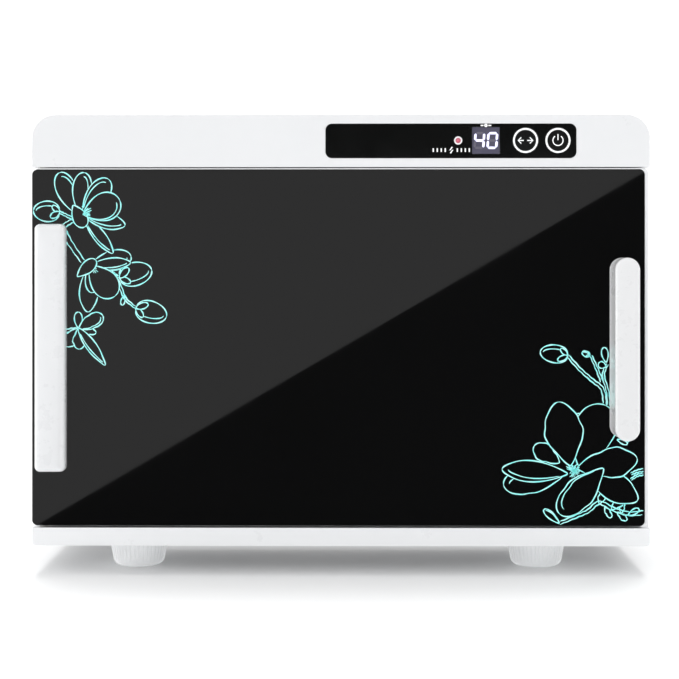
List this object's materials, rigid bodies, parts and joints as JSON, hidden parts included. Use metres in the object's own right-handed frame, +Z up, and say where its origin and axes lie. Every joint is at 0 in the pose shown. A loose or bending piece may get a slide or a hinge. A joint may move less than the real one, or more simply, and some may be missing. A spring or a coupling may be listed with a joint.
{
  "type": "hot towel cabinet",
  "caption": "Heated, UV-lit towel cabinet with a side-hung black glass door, wire racks, a drip tray and a control panel with push keys.",
  "frame": {"origin": "on the surface that the feet stand on, at the middle of the whole object's width and depth", "axes": "+Z up, door faces -Y, +X to the right of someone who faces the door"},
  "size_m": [0.45, 0.282, 0.336],
  "materials": {
    "outer_shell": "white powder coat, satin",
    "base_pan": "white powder coat, satin",
    "rear_panel": "white powder coat, satin",
    "front_frame": "white powder coat, satin",
    "fascia": "white moulded plastic, semi-gloss",
    "bottom_rail": "white moulded plastic, semi-gloss",
    "chamber_liner": "plain rolled sheet",
    "rack_rails": "folded stainless sheet",
    "insulation_wrap": "glass wool",
    "insulation_back": "glass wool",
    "heater_mats": "silicone heating mat",
    "thermostat": "phenolic body",
    "thermal_fuse": "matt",
    "uv_lamp_tube": "clear quartz glass",
    "uv_lamp_caps": "drawn caps with pins",
    "uv_lamp_holders": "white lamp holder",
    "uv_lamp_guard": "welded wire",
    "uv_ballast": "enamelled case",
    "component_tray": "galvanised sheet",
    "power_board": "green solder mask",
    "power_board_parts": "mixed moulded components",
    "board_standoffs": "turned brass",
    "control_board": "green solder mask",
    "control_board_parts": "moulded components",
    "led_display": "tinted display face",
    "display_digits": "lit segments",
    "lamp_bezel": "white ring",
    "lamp_lens": "red lens",
    "panel_insert": "black acrylic",
    "wiring_loom": "silicone sleeve",
    "power_inlet": "black moulded inlet",
    "inlet_pins": "nickel-plated brass",
    "hinge_bushes": "acetal",
    "magnet_catch": "bonded magnet in plastic",
    "reed_switch": "white case",
    "foot_front_left": "translucent grey plastic",
    "foot_front_right": "translucent grey plastic",
    "foot_rear_left": "translucent grey plastic",
    "foot_rear_right": "translucent grey plastic",
    "foot_screws": "zinc plated",
    "casing_screws": "zinc plated",
    "wire_rack_upper": "bright plated wire",
    "wire_rack_lower": "bright plated wire",
    "drip_tray": "pressed sheet",
    "select_key": "black key with a white ring",
    "power_key": "black key with a white ring",
    "door_frame": "white moulded plastic, semi-gloss",
    "door_glass": "toughened glass, black enamel behind, turquoise line flowers",
    "door_core": "foam board",
    "door_liner": "plain rolled sheet",
    "door_liner_screws": "zinc plated",
    "door_gasket": "grey silicone",
    "door_handle": "white moulded plastic, semi-gloss",
    "handle_screws": "zinc plated",
    "hinge_cover": "white moulded plastic, semi-gloss",
    "hinge_strip": "zinc plated",
    "hinge_pins": "turned steel",
    "hinge_screws": "zinc plated",
    "strike_plate": "zinc plated",
    "door_magnet": "sintered magnet"
  },
  "bodies": {
    "cabinet": {"outer_shell": "outer_shell", "base_pan": "base_pan", "rear_panel": "rear_panel", "front_frame": "front_frame", "fascia": "fascia", "bottom_rail": "bottom_rail", "chamber_liner": "chamber_liner", "rack_rails": "rack_rails", "insulation_wrap": "insulation_wrap", "insulation_back": "insulation_back", "heater_mats": "heater_mats", "thermostat": "thermostat", "thermal_fuse": "thermal_fuse", "uv_lamp_tube": "uv_lamp_tube", "uv_lamp_caps": "uv_lamp_caps", "uv_lamp_holders": "uv_lamp_holders", "uv_lamp_guard": "uv_lamp_guard", "uv_ballast": "uv_ballast", "component_tray": "component_tray", "power_board": "power_board", "power_board_parts": "power_board_parts", "board_standoffs": "board_standoffs", "control_board": "control_board", "control_board_parts": "control_board_parts", "led_display": "led_display", "display_digits": "display_digits", "lamp_bezel": "lamp_bezel", "lamp_lens": "lamp_lens", "panel_insert": "panel_insert", "wiring_loom": "wiring_loom", "power_inlet": "power_inlet", "inlet_pins": "inlet_pins", "hinge_bushes": "hinge_bushes", "magnet_catch": "magnet_catch", "reed_switch": "reed_switch", "foot_front_left": "foot_front_left", "foot_front_right": "foot_front_right", "foot_rear_left": "foot_rear_left", "foot_rear_right": "foot_rear_right", "foot_screws": "foot_screws", "casing_screws": "casing_screws"},
    "door": {"door_frame": "door_frame", "door_glass": "door_glass", "door_core": "door_core", "door_liner": "door_liner", "door_liner_screws": "door_liner_screws", "door_gasket": "door_gasket", "door_handle": "door_handle", "handle_screws": "handle_screws", "hinge_cover": "hinge_cover", "hinge_strip": "hinge_strip", "hinge_pins": "hinge_pins", "hinge_screws": "hinge_screws", "strike_plate": "strike_plate", "door_magnet": "door_magnet"},
    "rack_upper": {"wire_rack_upper": "wire_rack_upper"},
    "rack_lower": {"wire_rack_lower": "wire_rack_lower"},
    "drip_tray": {"drip_tray": "drip_tray"},
    "select_key": {"select_key": "select_key"},
    "power_key": {"power_key": "power_key"}
  },
  "joints": [
    {"name": "door_hinge", "type": "hinge", "parent": "cabinet", "child": "door", "pos_m": [-0.216, -0.104, 0.1665], "axis": [0, 0, -1], "range_deg": [0, 110]},
    {"name": "rack_upper_slide", "type": "slide", "parent": "cabinet", "child": "rack_upper", "axis": [0, -1, 0], "range_m": [0, 0.105]},
    {"name": "rack_lower_slide", "type": "slide", "parent": "cabinet", "child": "rack_lower", "axis": [0, -1, 0], "range_m": [0, 0.105]},
    {"name": "drip_tray_slide", "type": "slide", "parent": "cabinet", "child": "drip_tray", "axis": [0, -1, 0], "range_m": [0, 0.105]},
    {"name": "select_key_press", "type": "slide", "parent": "cabinet", "child": "select_key", "axis": [0, 1, 0], "range_m": [0, 0.001], "stiffness_N_per_m": 400},
    {"name": "power_key_press", "type": "slide", "parent": "cabinet", "child": "power_key", "axis": [0, 1, 0], "range_m": [0, 0.001], "stiffness_N_per_m": 400}
  ],
  "couplings": [
    {"joint": "rack_upper_slide", "follows": "door_hinge", "m_per_rad": 0.0545},
    {"joint": "rack_lower_slide", "follows": "door_hinge", "m_per_rad": 0.0545},
    {"joint": "drip_tray_slide", "follows": "door_hinge", "m_per_rad": 0.0545}
  ]
}
